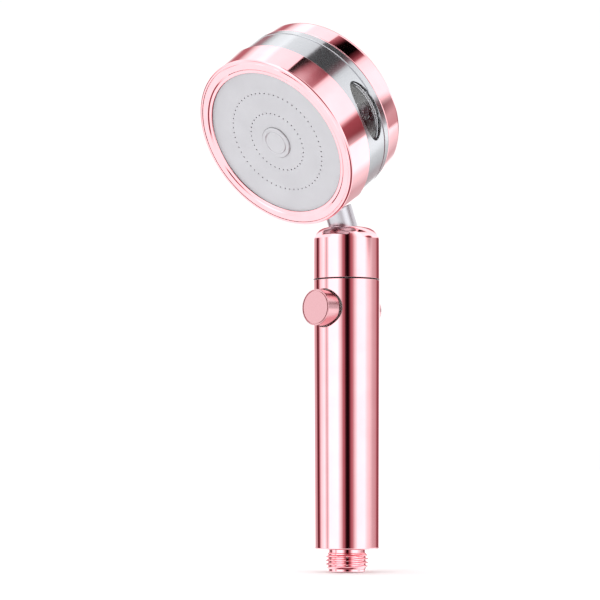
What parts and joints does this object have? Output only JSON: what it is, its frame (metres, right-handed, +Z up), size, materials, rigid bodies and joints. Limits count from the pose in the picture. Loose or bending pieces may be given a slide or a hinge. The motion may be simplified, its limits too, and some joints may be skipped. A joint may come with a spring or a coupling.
{
  "type": "handheld shower head",
  "caption": "Rose-gold handheld shower head: round tilted spray face, silver turbine ring with two clear side windows, leaning swivel neck and a handle with a push-through stop button.",
  "frame": {"origin": "the middle of the hose connector's lower end, on the handle's axis", "axes": "+Z up the handle to the head, -Y to the side that the spray face and the stop button look to, +X to the right when the spray face is seen from the back"},
  "size_m": [0.09, 0.093, 0.2629],
  "materials": {
    "rose_gold_plate": "mirror-bright rose-gold electroplate over moulded ABS",
    "satin_steel": "fine satin stainless sheet",
    "satin_chrome": "satin-chromed pipe",
    "silver_plate": "satin silver plate over moulded ABS",
    "clear_plastic": "clear moulded polycarbonate",
    "white_plastic": "white moulded acetal, hidden inside",
    "dark_plastic": "dark grey moulded acetal",
    "black_rubber": "black nitrile rubber",
    "silicone": "grey silicone rubber",
    "brass": "turned brass, hidden inside",
    "stainless": "bright stainless steel wire and sheet"
  },
  "bodies": {
    "handle": {"handle_shell": "rose_gold_plate", "hose_connector": "rose_gold_plate", "connector_nut": "brass", "connector_o_ring": "black_rubber", "flow_regulator": "dark_plastic", "inlet_screen": "stainless", "water_tube": "white_plastic", "valve_block": "white_plastic", "swivel_spigot": "brass", "swivel_washer": "white_plastic", "swivel_o_ring": "black_rubber", "swivel_snap_ring": "stainless"},
    "stop_valve": {"stop_button": "rose_gold_plate", "valve_spool": "dark_plastic", "return_button": "rose_gold_plate", "spool_o_ring_1": "black_rubber", "spool_o_ring_2": "black_rubber", "spool_o_ring_3": "black_rubber"},
    "head": {"swivel_socket": "white_plastic", "swivel_collar": "rose_gold_plate", "neck_pipe": "satin_chrome", "neck_foot_o_ring": "black_rubber", "neck_snap_ring": "stainless", "neck_tip_o_ring": "black_rubber", "neck_nut": "brass", "front_bezel": "rose_gold_plate", "spray_plate": "satin_steel", "plate_boss": "satin_steel", "plate_gasket": "silicone", "diffuser_disc": "white_plastic", "turbine_ring": "silver_plate", "window_lens_left": "clear_plastic", "window_lens_right": "clear_plastic", "rear_divider": "white_plastic", "rear_shell": "rose_gold_plate", "axle_bush_left": "dark_plastic", "axle_bush_right": "dark_plastic"},
    "turbine": {"turbine_axle": "stainless", "impeller_left": "dark_plastic", "impeller_right": "dark_plastic"}
  },
  "joints": [
    {"name": "head_swivel", "type": "hinge", "parent": "handle", "child": "head", "pos_m": [0, 0, 0.1416], "axis": [0, 0, 1], "continuous": true},
    {"name": "stop_push", "type": "slide", "parent": "handle", "child": "stop_valve", "axis": [0, 1, 0], "range_m": [0, 0.0038]},
    {"name": "turbine_spin", "type": "hinge", "parent": "head", "child": "turbine", "pos_m": [0, -0.03282, 0.21698], "axis": [1, 0, 0], "continuous": true}
  ]
}
